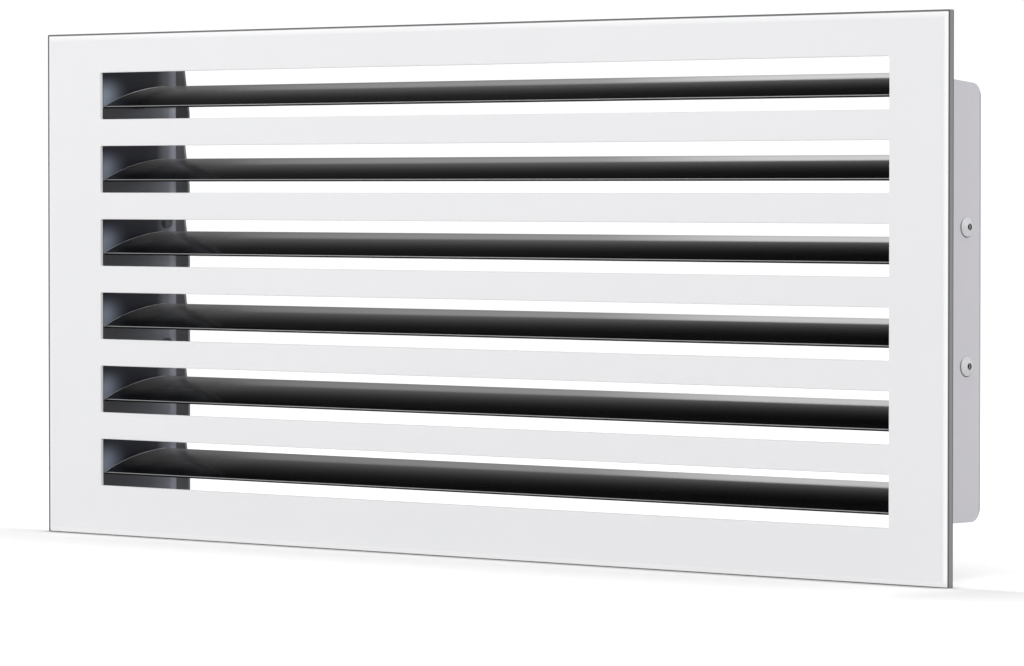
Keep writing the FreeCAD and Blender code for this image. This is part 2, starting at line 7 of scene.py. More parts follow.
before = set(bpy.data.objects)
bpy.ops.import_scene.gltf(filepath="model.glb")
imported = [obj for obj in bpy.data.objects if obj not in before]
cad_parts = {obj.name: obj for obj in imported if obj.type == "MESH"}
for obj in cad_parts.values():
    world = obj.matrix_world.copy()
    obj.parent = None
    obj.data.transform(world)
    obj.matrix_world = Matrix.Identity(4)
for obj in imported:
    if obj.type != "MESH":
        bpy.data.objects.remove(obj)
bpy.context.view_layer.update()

MM = 0.001

# Faceplate: one folded steel sheet under a satin white powder coat, its edge turned back to the
# wall all round. A highlight is painted on the slopes before the fold and at the slots' cut edges,
# and light is painted on the lower slope. Shade is painted grey over the fold, and as dark lines
# along its creases and along the left and top of the outline.
PLATE_HALF_WIDTH = 225.45 * MM
PLATE_HALF_HEIGHT = 98.45 * MM
PLATE_FRONT = -3.0 * MM
WHITE_COAT = (0.797, 0.798, 0.811, 1)
WHITE_COAT_DULL = (0.773, 0.775, 0.789, 1)
SLOPE_HIGHLIGHT = (0.885, 0.885, 0.892, 1)
EDGE_HIGHLIGHT = (0.97, 0.97, 0.975, 1)
LOWER_SLOPE_LIGHT = (0.835, 0.835, 0.845, 1)
FOLD_SHADE = (0.265, 0.265, 0.272, 1)
CREASE_SHADE = (0.10, 0.10, 0.105, 1)
OUTLINE_SHADE = (0.11, 0.11, 0.115, 1)
COAT_MOTTLE = {"Size": 18.0, "Speckle_Size": 1400.0, "Speckle": 0.25}
COAT_ROUGHNESS = (0.40, 0.46)
ORANGE_PEEL = {"Size": 650.0, "Height": 0.012 * MM, "Waves": 60.0, "Wave_Height": 0.02 * MM}
# Where each painted highlight and shade starts and ends, past the plate's outer edge and so below
# zero
SLOPE = (-2.9 * MM, -0.7 * MM)
RIGHT_SLOPE = (-2.6 * MM, -0.7 * MM)
LEFT_OUTLINE = (-1.35 * MM, -1.15 * MM)
TOP_OUTLINE = (-0.8 * MM, -0.6 * MM)
ON_FOLD = (-0.42 * MM, -0.12 * MM)
INSIDE_FOLD = (-3.0 * MM, -4.0 * MM)
CUT_EDGE_FACING = (0.6, 0.9)
# The two painted dark lines of shade in the fold, by depth: round its front corner and at the wall
FRONT_CREASE = (PLATE_FRONT + 1.1 * MM, PLATE_FRONT + 0.7 * MM)
WALL_CREASE = (-0.5 * MM, -0.25 * MM)


class Wiring:
    """The nodes of one material or node group, added and joined one after another."""

    SPACING = 180

    def __init__(self, tree):
        self.tree = tree

    def new(self, kind):
        """A node to the right of those that are there."""
        node = self.tree.nodes.new(kind)
        node.location = (len(self.tree.nodes) * self.SPACING, 0)
        return node

    def add(self, kind, **settings):
        """A node with its own settings and the values of its sockets, by name."""
        node = self.new(kind)
        for name, value in settings.items():
            if hasattr(node, name):
                setattr(node, name, value)
            else:
                self.feed(node.inputs[name.replace("_", " ")], value)
        return node

    def feed(self, socket, value):
        """Join another node's output to a socket, or set the socket's own value."""
        if isinstance(value, bpy.types.NodeSocket):
            self.tree.links.new(value, socket)
        else:
            socket.default_value = value

    def maths(self, operation, first, second=None, clamp=False):
        node = self.new("ShaderNodeMath")
        node.operation = operation
        node.use_clamp = clamp
        self.feed(node.inputs[0], first)
        if second is not None:
            self.feed(node.inputs[1], second)
        return node.outputs[0]

    def plus(self, first, second):
        return self.maths("ADD", first, second)

    def minus(self, first, second):
        return self.maths("SUBTRACT", first, second)

    def times(self, first, *others):
        for other in others:
            first = self.maths("MULTIPLY", first, other)
        return first

    def larger(self, first, second):
        return self.maths("MAXIMUM", first, second)

    def unsigned(self, value):
        return self.maths("ABSOLUTE", value)

    def squared(self, value):
        return self.maths("POWER", value, 2.0)

    def between(self, share, low, high):
        """The level that lies a share of the way from low to high."""
        return self.plus(low, self.times(share, self.minus(high, low)))

    def ramp(self, value, low, high):
        """0 at low and 1 at high, smooth between."""
        node = self.add("ShaderNodeMapRange", interpolation_type="SMOOTHSTEP", Value=value)
        self.feed(node.inputs["From Min"], low)
        self.feed(node.inputs["From Max"], high)
        return node.outputs["Result"]

    def blend(self, share, first, second):
        """The colour that lies a share of the way from first to second."""
        node = self.add("ShaderNodeMix", data_type="RGBA", Factor=share, A=first, B=second)
        return node.outputs["Result"]

    def curve(self, value, points):
        """The level at a value from 0 to 1, straight between points of (value, level)."""
        node = self.add("ShaderNodeValToRGB", Fac=value)
        elements = node.color_ramp.elements
        elements[0].position = points[0][0]
        elements[1].position = points[-1][0]
        for position, level in points[1:-1]:
            elements.new(position)
        for element, (_, level) in zip(elements, points):
            element.color = (level, level, level, 1)
        return node.outputs["Color"]

    def noise(self, place, scale, detail):
        node = self.add("ShaderNodeTexNoise", Vector=place, Scale=scale, Detail=detail)
        return node.outputs["Fac"]

    def place_on_piece(self):
        return self.new("ShaderNodeTexCoord").outputs["Object"]

    def facing_on_piece(self):
        return self.new("ShaderNodeTexCoord").outputs["Normal"]

    def seen_by_camera(self):
        return self.new("ShaderNodeLightPath").outputs["Is Camera Ray"]

    def parts(self, vector):
        """The three numbers of a place or a facing: across, depth and up."""
        node = self.new("ShaderNodeSeparateXYZ")
        self.feed(node.inputs[0], vector)
        return node.outputs

    def place(self, group, **values):
        """A node group with its values, by name."""
        node = self.new("ShaderNodeGroup")
        node.node_tree = group
        for name, value in values.items():
            self.feed(node.inputs[name.replace("_", " ")], value)
        return node.outputs


def finish_group(name, inputs, outputs):
    """An empty group of nodes with named inputs and outputs, ready to be wired."""
    group = bpy.data.node_groups.new(name, "ShaderNodeTree")
    for label, kind, start in inputs:
        socket = group.interface.new_socket(label, in_out="INPUT", socket_type=kind)
        if start is not None:
            socket.default_value = start
    for label, kind in outputs:
        group.interface.new_socket(label, in_out="OUTPUT", socket_type=kind)
    source = group.nodes.new("NodeGroupInput").outputs
    drain = group.nodes.new("NodeGroupOutput").inputs
    return group, Wiring(group), source, drain


def new_finish(name):
    """A material with a bare shader, and what is needed to wire it."""
    material = bpy.data.materials.new(name)
    material.use_nodes = True
    shader = material.node_tree.nodes["Principled BSDF"]
    return material, Wiring(material.node_tree), shader


def coat(node_name, material):
    """Give a piece of the frame its finish."""
    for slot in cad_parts[node_name].material_slots:
        slot.material = material


ripple, net, given, put = finish_group(
    "coat_ripple",
    [("Place", "NodeSocketVector", None), ("Size", "NodeSocketFloat", 700.0),
     ("Height", "NodeSocketFloat", 0.01 * MM), ("Waves", "NodeSocketFloat", 90.0),
     ("Wave Height", "NodeSocketFloat", 0.0)],
    [("Normal", "NodeSocketVector")])
fine = net.times(net.noise(given["Place"], given["Size"], detail=1.0), given["Height"])
broad = net.times(net.noise(given["Place"], given["Waves"], detail=1.0), given["Wave Height"])
bump = net.add("ShaderNodeBump", Height=net.plus(fine, broad), Strength=1.0, Distance=1.0)
net.feed(put["Normal"], bump.outputs["Normal"])

mottle, net, given, put = finish_group(
    "coat_mottle",
    [("Place", "NodeSocketVector", None), ("Size", "NodeSocketFloat", 25.0),
     ("Speckle Size", "NodeSocketFloat", 900.0), ("Speckle", "NodeSocketFloat", 0.3)],
    [("Mask", "NodeSocketFloat")])
clouds = net.minus(net.noise(given["Place"], given["Size"], detail=3.0), 0.5)
specks = net.noise(given["Place"], given["Speckle Size"], detail=1.0)
specks = net.times(specks, given["Speckle"])
net.feed(put["Mask"], net.maths("ADD", clouds, specks, clamp=True))


def surface(net, shader, place, mask, roughness, relief):
    """Gloss that varies with a mask between two roughnesses, and a fine relief to break it up."""
    net.feed(shader.inputs["Roughness"], net.between(mask, *roughness))
    net.feed(shader.inputs["Normal"], net.place(ripple, Place=place, **relief)["Normal"])


material, net, shader = new_finish("white_powder_coat")
place = net.place_on_piece()
mask = net.place(mottle, Place=place, **COAT_MOTTLE)["Mask"]
across, depth, up = net.parts(place)
past_side = net.minus(net.unsigned(across), PLATE_HALF_WIDTH)
past_end = net.minus(net.unsigned(up), PLATE_HALF_HEIGHT)
past_edge = net.larger(past_side, past_end)
past_right = net.minus(across, PLATE_HALF_WIDTH)
past_left = net.minus(net.times(across, -1.0), PLATE_HALF_WIDTH)
past_top = net.minus(up, PLATE_HALF_HEIGHT)
past_bottom = net.minus(net.times(up, -1.0), PLATE_HALF_HEIGHT)
colour = net.blend(mask, WHITE_COAT, WHITE_COAT_DULL)
# Painted highlight on the slopes before the fold, brightest on the right slope
colour = net.blend(net.ramp(past_edge, *SLOPE), colour, SLOPE_HIGHLIGHT)
colour = net.blend(net.ramp(past_right, *RIGHT_SLOPE), colour, EDGE_HIGHLIGHT)
# Painted light on the lower slope, against the shade there
colour = net.blend(net.ramp(past_bottom, *SLOPE), colour, LOWER_SLOPE_LIGHT)
# Painted shade: dark lines along the left and top of the outline
outline = net.larger(net.ramp(past_left, *LEFT_OUTLINE), net.ramp(past_top, *TOP_OUTLINE))
colour = net.blend(outline, colour, OUTLINE_SHADE)
# Painted highlight on the slots' cut edges that face right
facing_right = net.parts(net.facing_on_piece())[0]
cut_edge = net.times(net.ramp(facing_right, *CUT_EDGE_FACING), net.ramp(past_side, *INSIDE_FOLD))
colour = net.blend(cut_edge, colour, EDGE_HIGHLIGHT)
# Painted shade over the fold, darkest at its two creases
crease = net.larger(net.ramp(depth, *FRONT_CREASE), net.ramp(depth, *WALL_CREASE))
fold = net.blend(crease, FOLD_SHADE, CREASE_SHADE)
net.feed(shader.inputs["Base Color"], net.blend(net.ramp(past_edge, *ON_FOLD), colour, fold))
surface(net, shader, place, mask, COAT_ROUGHNESS, ORANGE_PEEL)
coat("faceplate", material)

# Side brackets: bent steel strips under a pale grey powder coat, spot welded to the back of the
# faceplate by their flanges. The strip is darker along its rear edge, and a shadow is painted
# under the front and lower side of the two rivet heads.
GREY_COAT = (0.668, 0.654, 0.698, 1)
GREY_COAT_DULL = (0.65, 0.638, 0.68, 1)
GREY_COAT_EDGE = (0.44, 0.44, 0.445, 1)
RIVET_SHADOW = (0.12, 0.12, 0.125, 1)
BRACKET_REAR = 42.8 * MM
REAR_EDGE = (BRACKET_REAR - 1.0 * MM, BRACKET_REAR - 0.3 * MM)
RIVET_DEPTH = 35.0 * MM
RIVET_HEIGHT = 24.25 * MM
RIVET_HEAD = 3.4 * MM
SHADOW_RING = (RIVET_HEAD + 0.55 * MM, RIVET_HEAD + 0.15 * MM)
SHADOW_SIDE = (1.5 * MM, -3.5 * MM)


def from_rivet(net, place):
    """How far behind and above the nearest rivet's middle line a place is, and how far in all."""
    depth, up = net.parts(place)[1:3]
    behind = net.minus(depth, RIVET_DEPTH)
    above = net.minus(net.unsigned(up), RIVET_HEIGHT)
    above = net.times(above, net.maths("SIGN", up))
    away = net.maths("SQRT", net.plus(net.squared(behind), net.squared(above)))
    return behind, above, away


material, net, shader = new_finish("pale_grey_powder_coat")
place = net.place_on_piece()
mask = net.place(mottle, Place=place, **COAT_MOTTLE)["Mask"]
behind, above, away = from_rivet(net, place)
# Painted shadow under the front and lower side of each rivet head
low_side = net.ramp(net.plus(behind, above), *SHADOW_SIDE)
rivet_shadow = net.times(low_side, net.ramp(away, *SHADOW_RING))
# Darker along the strip's rear edge
at_rear = net.ramp(net.parts(place)[1], *REAR_EDGE)
grey = net.blend(mask, GREY_COAT, GREY_COAT_DULL)
grey = net.blend(at_rear, grey, GREY_COAT_EDGE)
net.feed(shader.inputs["Base Color"], net.blend(rivet_shadow, grey, RIVET_SHADOW))
surface(net, shader, place, mask, COAT_ROUGHNESS, ORANGE_PEEL)
coat("side_bracket_left", material)
coat("side_bracket_right", material)

# End plates: thin steel pressings in blue-black enamel, riveted inside the brackets. They carry
# the blades, and their rear edges turn inwards as a lip. A pale highlight is painted near the front
# beside each blade, and light is painted on the enamel towards the lip, more below each blade and
# less above the top one. The lip is painted lighter, and less so in the top bay.
FIRST_SLOT = 73.875 * MM
SLOT_PITCH = 28.75 * MM
# Each slot's bay from 0 at its lower end to 1: where its blade lies, and where the painted highlight
# ends
BLADE_IN_BAY = (0.37, 0.33)
HIGHLIGHT_IN_BAY = (0.80, 0.50)
HIGHLIGHT_DEPTH = (18 * MM, 1 * MM)
TOP_BAY = (59 * MM, 61 * MM)
TOP_BAY_LIGHT = 0.5
LIP_BEND = 39.8 * MM
ON_LIP = (LIP_BEND + 0.1 * MM, LIP_BEND + 0.4 * MM)
ENAMEL_BASE_BLACK = (0, 0, 0, 1)
ENAMEL_LIT_BLUE = (0.82, 0.88, 1.42, 1)
ENAMEL_LIT_GREY = (0.95, 0.98, 1.12, 1)
GREY_TO_LIP = (0.55, 0.85)
# How much light is painted on the enamel, from the front at 0 to the lip's bend at 1
LIGHT_ABOVE_BLADE = [(0.0, 0.028), (0.56, 0.024), (0.74, 0.034), (0.81, 0.13), (0.90, 0.27),
                    (1.0, 0.85)]
LIGHT_BELOW_BLADE = [(0.0, 0.09), (0.30, 0.112), (0.64, 0.15), (0.82, 0.22), (0.90, 0.34),
                    (1.0, 1.0)]
PATCHY_LIGHT = (0.75, 1.25)
ENAMEL_HIGHLIGHT = (0.36, 0.41, 0.51, 1)
LIT_LIP = (0.30, 0.30, 0.315, 1)
LIT_LIP_TOP = (0.14, 0.14, 0.148, 1)
STREAK_STRETCH = (1.0, 0.12, 1.0)
STREAK_SIZE = 260.0
ENAMEL_ROUGHNESS = (0.26, 0.41)
ENAMEL_RELIEF = {"Size": 500.0, "Height": 0.014 * MM}
ENAMEL_SHINE = 0.2
material, net, shader = new_finish("dark_end_enamel")
place = net.place_on_piece()
stretched = net.add("ShaderNodeMapping", Vector=place, Scale=STREAK_STRETCH).outputs["Vector"]
streaks = net.noise(stretched, STREAK_SIZE, detail=3.0)
across, depth, up = net.parts(place)
from_slot = net.maths("DIVIDE", net.minus(up, FIRST_SLOT), SLOT_PITCH)
in_bay = net.maths("FLOORED_MODULO", net.plus(from_slot, 0.5), 1.0)
in_top_bay = net.ramp(up, *TOP_BAY)
to_lip = net.maths("DIVIDE", depth, LIP_BEND)
patchy = net.between(streaks, *PATCHY_LIGHT)
# Painted light above each blade, growing towards the lip and weaker in the top bay
painted_light = net.times(net.curve(to_lip, LIGHT_ABOVE_BLADE), patchy)
painted_light = net.times(painted_light, net.between(in_top_bay, 1.0, TOP_BAY_LIGHT))
lit_enamel = net.blend(net.ramp(to_lip, *GREY_TO_LIP), ENAMEL_LIT_BLUE, ENAMEL_LIT_GREY)
above_blade = net.blend(painted_light, ENAMEL_BASE_BLACK, lit_enamel)
# Painted highlight near the front, above each blade
near_front = net.squared(net.ramp(depth, *HIGHLIGHT_DEPTH))
painted_highlight = net.times(near_front, net.ramp(in_bay, *HIGHLIGHT_IN_BAY))
above_blade = net.blend(painted_highlight, above_blade, ENAMEL_HIGHLIGHT)
# Painted light below each blade, growing towards the lip
painted_light = net.times(net.curve(to_lip, LIGHT_BELOW_BLADE), patchy)
below_blade = net.blend(painted_light, ENAMEL_BASE_BLACK, ENAMEL_LIT_GREY)
enamel = net.blend(net.ramp(in_bay, *BLADE_IN_BAY), above_blade, below_blade)
# Painted light on the lip, darker in the top bay
lip = net.blend(in_top_bay, LIT_LIP, LIT_LIP_TOP)
net.feed(shader.inputs["Base Color"], net.blend(net.ramp(depth, *ON_LIP), enamel, lip))
surface(net, shader, stretched, streaks, ENAMEL_ROUGHNESS, ENAMEL_RELIEF)
shader.inputs["Specular IOR Level"].default_value = ENAMEL_SHINE
coat("end_plate_left", material)
coat("end_plate_right", material)

# Blades: rolled steel strips in glossy black baked enamel, each with a clip welded under either
# end. A highlight is painted as light lines along the front edge and the cut ends, and a grey
# sheen is painted on top near the left end. It is dull on the underside, and on top near the left
# end, where it is dusty.
BLADES = range(1, 7)
SLOTS_MIDDLE = 2.6 * MM
BLADE_BLACK = (0.0045, 0.0047, 0.0055, 1)
BLADE_BLACK_WORN = (0.008, 0.0082, 0.0088, 1)
BLADE_MOTTLE = {"Size": 40.0, "Speckle_Size": 2200.0, "Speckle": 0.2}
BLADE_RELIEF = {"Size": 420.0, "Height": 0.004 * MM, "Waves": 35.0, "Wave_Height": 0.01 * MM}
TOP_BLADE = (52 * MM, 58 * MM)
# The painted highlights: along the cut ends, wider and brighter towards the crest, and along the
# front
END_HIGHLIGHT = (0.62, 0.62, 0.63, 1)
END_HIGHLIGHT_CREST = (1.0, 1.0, 0.99, 1)
END_LINE_START = 197.35 * MM
END_LINE_SOFTNESS = (0.1 * MM, -0.1 * MM)
END_LINE_WIDENS_BY = 1.2 * MM
END_LINE_WIDENS = (6 * MM, 26 * MM)
END_LINE_BRIGHTENS = (3 * MM, 22 * MM)
END_LINE_FACING = (0.1, 0.4)
END_LINE_TOP_BLADE = 0.65
FRONT_HIGHLIGHT = (0.32, 0.32, 0.325, 1)
FRONT_LINE_DEPTH = (-0.25 * MM, -0.35 * MM)
FRONT_LINE_FACING = (0.05, 0.35)
# The painted sheen: heavier in the very corner, and lighter on the top blade
SHEEN_GREY = (0.22, 0.22, 0.22, 1)
SHEEN_IN_CORNER = (0.36, 0.36, 0.36, 1)
DUST_AND_SHEEN_END = (-118 * MM, -158 * MM)
SHEEN_CORNER = (-172 * MM, -188 * MM)
SHEEN_DEPTH = (2 * MM, 30 * MM)
SHEEN_FACING = (0.2, 0.5)
SHEEN_TOP_BLADE = 0.5
# How much of the shine is lost, and where
REAR_EDGE_DULL = 0.3
UNDERSIDE_DULL = 0.45
DUSTY_END_DULL = 0.42
UNDER_FRONT_DULL = 0.45
BLADE_REAR_EDGE = (31.7 * MM, 31.9 * MM)
UNDERSIDE_FACING = (-0.1, -0.5)
UNDER_FRONT_FACING = (0.05, -0.15)
FULL_SHINE = 0.5
BLADE_ROUGHNESS = (0.07, 0.12)
DUSTY_END_ROUGHER = 0.15
UNDERSIDE_ROUGHER = 0.4


def from_middle(net, place):
    """How far a place is to either side of the middle of the slots."""
    return net.unsigned(net.minus(net.parts(place)[0], SLOTS_MIDDLE))


material, net, shader = new_finish("black_enamel_blade")
place = net.place_on_piece()
mask = net.place(mottle, Place=place, **BLADE_MOTTLE)["Mask"]
across, depth, up = net.parts(place)
facing_up = net.parts(net.facing_on_piece())[2]
underside = net.ramp(facing_up, *UNDERSIDE_FACING)
on_top_blade = net.ramp(up, *TOP_BLADE)
dust_and_sheen_end = net.ramp(across, *DUST_AND_SHEEN_END)
at_front = net.ramp(depth, *FRONT_LINE_DEPTH)
black = net.blend(mask, BLADE_BLACK, BLADE_BLACK_WORN)

# Painted sheen: a grey share on top near the left end, lighter on the top blade
painted_sheen = net.times(dust_and_sheen_end, net.ramp(depth, *SHEEN_DEPTH), net.ramp(facing_up, *SHEEN_FACING))
painted_sheen = net.times(painted_sheen, net.between(on_top_blade, 1.0, SHEEN_TOP_BLADE))
sheen = net.blend(net.ramp(across, *SHEEN_CORNER), SHEEN_GREY, SHEEN_IN_CORNER)
black = net.blend(painted_sheen, black, sheen)

# Painted highlight along the front edge
front_edge_highlight = net.times(at_front, net.ramp(facing_up, *FRONT_LINE_FACING))
black = net.blend(front_edge_highlight, black, FRONT_HIGHLIGHT)

# Painted highlight along the cut ends, dimmer on the top blade
widened = net.times(net.ramp(depth, *END_LINE_WIDENS), END_LINE_WIDENS_BY)
to_line = net.minus(END_LINE_START, net.plus(from_middle(net, place), widened))
end_highlight = net.times(net.ramp(to_line, *END_LINE_SOFTNESS), net.ramp(facing_up, *END_LINE_FACING))
end_highlight = net.times(end_highlight, net.between(on_top_blade, 1.0, END_LINE_TOP_BLADE))
end_highlight_colour = net.blend(net.ramp(depth, *END_LINE_BRIGHTENS), END_HIGHLIGHT, END_HIGHLIGHT_CREST)
net.feed(shader.inputs["Base Color"], net.blend(end_highlight, black, end_highlight_colour))

under_front = net.times(at_front, net.ramp(facing_up, *UNDER_FRONT_FACING))
dull = net.times(net.ramp(depth, *BLADE_REAR_EDGE), REAR_EDGE_DULL)
dull = net.larger(dull, net.times(underside, UNDERSIDE_DULL))
dull = net.larger(dull, net.times(dust_and_sheen_end, DUSTY_END_DULL))
dull = net.larger(dull, net.times(under_front, UNDER_FRONT_DULL))
net.feed(shader.inputs["Specular IOR Level"], net.minus(FULL_SHINE, dull))
rough = net.plus(net.between(mask, *BLADE_ROUGHNESS), net.times(dust_and_sheen_end, DUSTY_END_ROUGHER))
rough = net.plus(rough, net.times(underside, UNDERSIDE_ROUGHER))
net.feed(shader.inputs["Roughness"], rough)
net.feed(shader.inputs["Normal"], net.place(ripple, Place=place, **BLADE_RELIEF)["Normal"])
for number in BLADES:
    coat("blade_%d" % number, material)
    coat("pivot_clips_%d" % number, material)

# Pivots: shouldered steel rivets that turn in the end plates, each with a plain black bush
# between the blade's clip and the end plate. The rivets are zinc plated and the bushes moulded.
STEEL = (0.50, 0.50, 0.52, 1)
STEEL_DULL = (0.36, 0.36, 0.37, 1)
STEEL_MOTTLE = {"Size": 900.0, "Speckle_Size": 4000.0, "Speckle": 0.5}
STEEL_ROUGHNESS = (0.28, 0.48)
STEEL_RELIEF = {"Size": 3000.0, "Height": 0.006 * MM}
material, net, shader = new_finish("rivet_steel_zinc")
place = net.place_on_piece()
mask = net.place(mottle, Place=place, **STEEL_MOTTLE)["Mask"]
net.feed(shader.inputs["Base Color"], net.blend(mask, STEEL, STEEL_DULL))
surface(net, shader, place, mask, STEEL_ROUGHNESS, STEEL_RELIEF)
shader.inputs["Metallic"].default_value = 1.0
for number in BLADES:
    coat("pivot_rivets_%d" % number, material)

BUSH_BLACK = (0.045, 0.045, 0.05, 1)
BUSH_WORN = (0.075, 0.075, 0.08, 1)
BUSH_MOTTLE = {"Size": 600.0, "Speckle_Size": 5000.0, "Speckle": 0.4}
BUSH_ROUGHNESS = (0.5, 0.7)
BUSH_RELIEF = {"Size": 4000.0, "Height": 0.005 * MM}
material, net, shader = new_finish("bush_plastic_black")
place = net.place_on_piece()
mask = net.place(mottle, Place=place, **BUSH_MOTTLE)["Mask"]
net.feed(shader.inputs["Base Color"], net.blend(mask, BUSH_BLACK, BUSH_WORN))
surface(net, shader, place, mask, BUSH_ROUGHNESS, BUSH_RELIEF)
for number in BLADES:
    coat("pivot_bushes_%d" % number, material)

# Blind rivets: hollow domed aluminium rivets that hold each end plate in its bracket, each with
# the broken end of its steel pulling pin down in the hollow. The hollow is painted dark as shade,
# with a painted glint on the rear half of its wall. Their tails inside the end plates are coloured
# as dark as the plates' enamel.
ALUMINIUM = (0.80, 0.80, 0.81, 1)
ALUMINIUM_DULL = (0.66, 0.66, 0.67, 1)
ALUMINIUM_MOTTLE = {"Size": 700.0, "Speckle_Size": 4000.0, "Speckle": 0.5}
ALUMINIUM_ROUGHNESS = (0.38, 0.58)
ALUMINIUM_RELIEF = {"Size": 3000.0, "Height": 0.005 * MM}
ALUMINIUM_METALLIC = 0.6
HOLLOW_SHADE = (0.03, 0.03, 0.033, 1)
HOLLOW_WALL = (1.25 * MM, 1.1 * MM)
# The painted glint on the rear half of the hollow's wall, by how far in from the mouth it is
HOLLOW_MOUTH = 202.86 * MM
GLINT_FROM = (0.25 * MM, 0.5 * MM)
GLINT_TO = (1.05 * MM, 0.8 * MM)
GLINT_SIDE = (0.1 * MM, 0.5 * MM)
PAINTED_GLINT = (0.95, 0.95, 0.96, 1)
TAIL_ENAMEL = (0.085, 0.088, 0.098, 1)
TAIL_START = (199.8 * MM, 199.6 * MM)
material, net, shader = new_finish("rivet_aluminium_dull")
place = net.place_on_piece()
mask = net.place(mottle, Place=place, **ALUMINIUM_MOTTLE)["Mask"]
behind, _, away = from_rivet(net, place)
# Painted shade in the hollow, round the pin
in_hollow = net.ramp(away, *HOLLOW_WALL)
tail = net.ramp(from_middle(net, place), *TAIL_START)
# Painted glint on the rear half of the hollow's wall
inward = net.minus(HOLLOW_MOUTH, from_middle(net, place))
glint = net.times(net.ramp(inward, *GLINT_FROM), net.ramp(inward, *GLINT_TO))
glint = net.times(glint, net.ramp(behind, *GLINT_SIDE))
metal = net.blend(mask, ALUMINIUM, ALUMINIUM_DULL)
metal = net.blend(in_hollow, metal, net.blend(glint, HOLLOW_SHADE, PAINTED_GLINT))
net.feed(shader.inputs["Base Color"], net.blend(tail, metal, TAIL_ENAMEL))
surface(net, shader, place, mask, ALUMINIUM_ROUGHNESS, ALUMINIUM_RELIEF)
covered = net.larger(in_hollow, tail)
net.feed(shader.inputs["Metallic"], net.between(covered, ALUMINIUM_METALLIC, 0.0))
coat("blind_rivets", material)

# Broken pulling pins: the steel ends left in the blind rivets. The break is rough, with a painted
# glint over the side that faces the rear and painted shade along the other.
PIN_GRAIN = 2500.0
PIN_RAGGED = 0.2 * MM
PIN_BRIGHT_SIDE = (-0.25 * MM, 0.1 * MM)
PIN_ROUGHNESS = (0.35, 0.55)
PIN_RELIEF = {"Size": 2500.0, "Height": 0.02 * MM}
material, net, shader = new_finish("pin_steel_broken")
place = net.place_on_piece()
behind = from_rivet(net, place)[0]
broken = net.noise(place, PIN_GRAIN, detail=2.0)
# Painted glint on the rear side, painted shade on the other
bright = net.ramp(net.plus(behind, net.times(broken, PIN_RAGGED)), *PIN_BRIGHT_SIDE)
steel = net.blend(bright, HOLLOW_SHADE, PAINTED_GLINT)
tail = net.ramp(from_middle(net, place), *TAIL_START)
net.feed(shader.inputs["Base Color"], net.blend(tail, steel, TAIL_ENAMEL))
surface(net, shader, place, broken, PIN_ROUGHNESS, PIN_RELIEF)
coat("rivet_mandrels", material)

# Floor: a plain white sheet under the faceplate's lower edge, lit to meet the white beyond it.
# It is a little darker in front of the cover and off its right corner, lighter behind that
# corner, and darkest where the cover stands on it.
FLOOR_LEVEL = -PLATE_HALF_HEIGHT
FLOOR_REACH = 3.0
FLOOR_WHITE = (0.90, 0.90, 0.90, 1)
CONTACT_SHADE = (0.30, 0.30, 0.30, 1)
CONTACT_REACH = 10 * MM
CONTACT_OPEN = (0.38, 1.0)
PURE_BLACK = (0, 0, 0, 1)
PURE_WHITE = (1, 1, 1, 1)
FLOOR_GLOW = 0.42
# In front of the cover: from its foot to the end of the shade, and past its sides
FRONT_SHADE = 0.27
FRONT_FOOT = (6 * MM, -2 * MM)
FRONT_END = (-150 * MM, 0.0)
FRONT_SIDES = (110 * MM, 0.0)
# Off the right corner, past the plate's side and to its front
CORNER_SHADE = 0.15
CORNER_START = (-10 * MM, 20 * MM)
CORNER_END = (170 * MM, 60 * MM)
CORNER_BACK = (30 * MM, 5 * MM)
CORNER_FRONT = (-90 * MM, -20 * MM)
# Behind that corner
REAR_GLOW = 0.12
REAR_START = (10 * MM, 40 * MM)
REAR_SIDE = (-30 * MM, 0.0)
floor_mesh = bmesh.new()
bmesh.ops.create_circle(floor_mesh, cap_ends=True, segments=64, radius=FLOOR_REACH,
                        matrix=Matrix.Translation((0, 0, FLOOR_LEVEL)))
floor_data = bpy.data.meshes.new("floor")
floor_mesh.to_mesh(floor_data)
floor_mesh.free()
floor = bpy.data.objects.new("floor", floor_data)
bpy.context.scene.collection.objects.link(floor)
material, net, shader = new_finish("floor_white")
contact = net.add("ShaderNodeAmbientOcclusion", samples=8, Distance=CONTACT_REACH)
clear = net.ramp(contact.outputs["AO"], *CONTACT_OPEN)
seen = net.seen_by_camera()
shaded = net.times(seen, net.minus(1.0, clear))
net.feed(shader.inputs["Base Color"], net.blend(shaded, FLOOR_WHITE, CONTACT_SHADE))
net.feed(shader.inputs["Emission Color"], net.blend(clear, PURE_BLACK, PURE_WHITE))
across, depth, up = net.parts(net.place_on_piece())
past_side = net.minus(net.unsigned(across), PLATE_HALF_WIDTH)
past_right = net.minus(across, PLATE_HALF_WIDTH)
in_front = net.times(net.ramp(depth, *FRONT_FOOT), net.ramp(depth, *FRONT_END))
in_front = net.times(in_front, net.ramp(past_side, *FRONT_SIDES))
at_corner = net.times(net.ramp(past_right, *CORNER_START), net.ramp(past_right, *CORNER_END))
at_corner = net.times(at_corner, net.ramp(depth, *CORNER_BACK), net.ramp(depth, *CORNER_FRONT))
at_rear = net.times(net.ramp(depth, *REAR_START), net.ramp(past_right, *REAR_SIDE))
glow = net.minus(FLOOR_GLOW, net.times(in_front, FRONT_SHADE))
glow = net.minus(glow, net.times(at_corner, CORNER_SHADE))
glow = net.plus(glow, net.times(at_rear, REAR_GLOW))
net.feed(shader.inputs["Emission Strength"], net.times(seen, glow))
shader.inputs["Roughness"].default_value = 1.0
shader.inputs["Specular IOR Level"].default_value = 0.0
floor_data.materials.append(material)

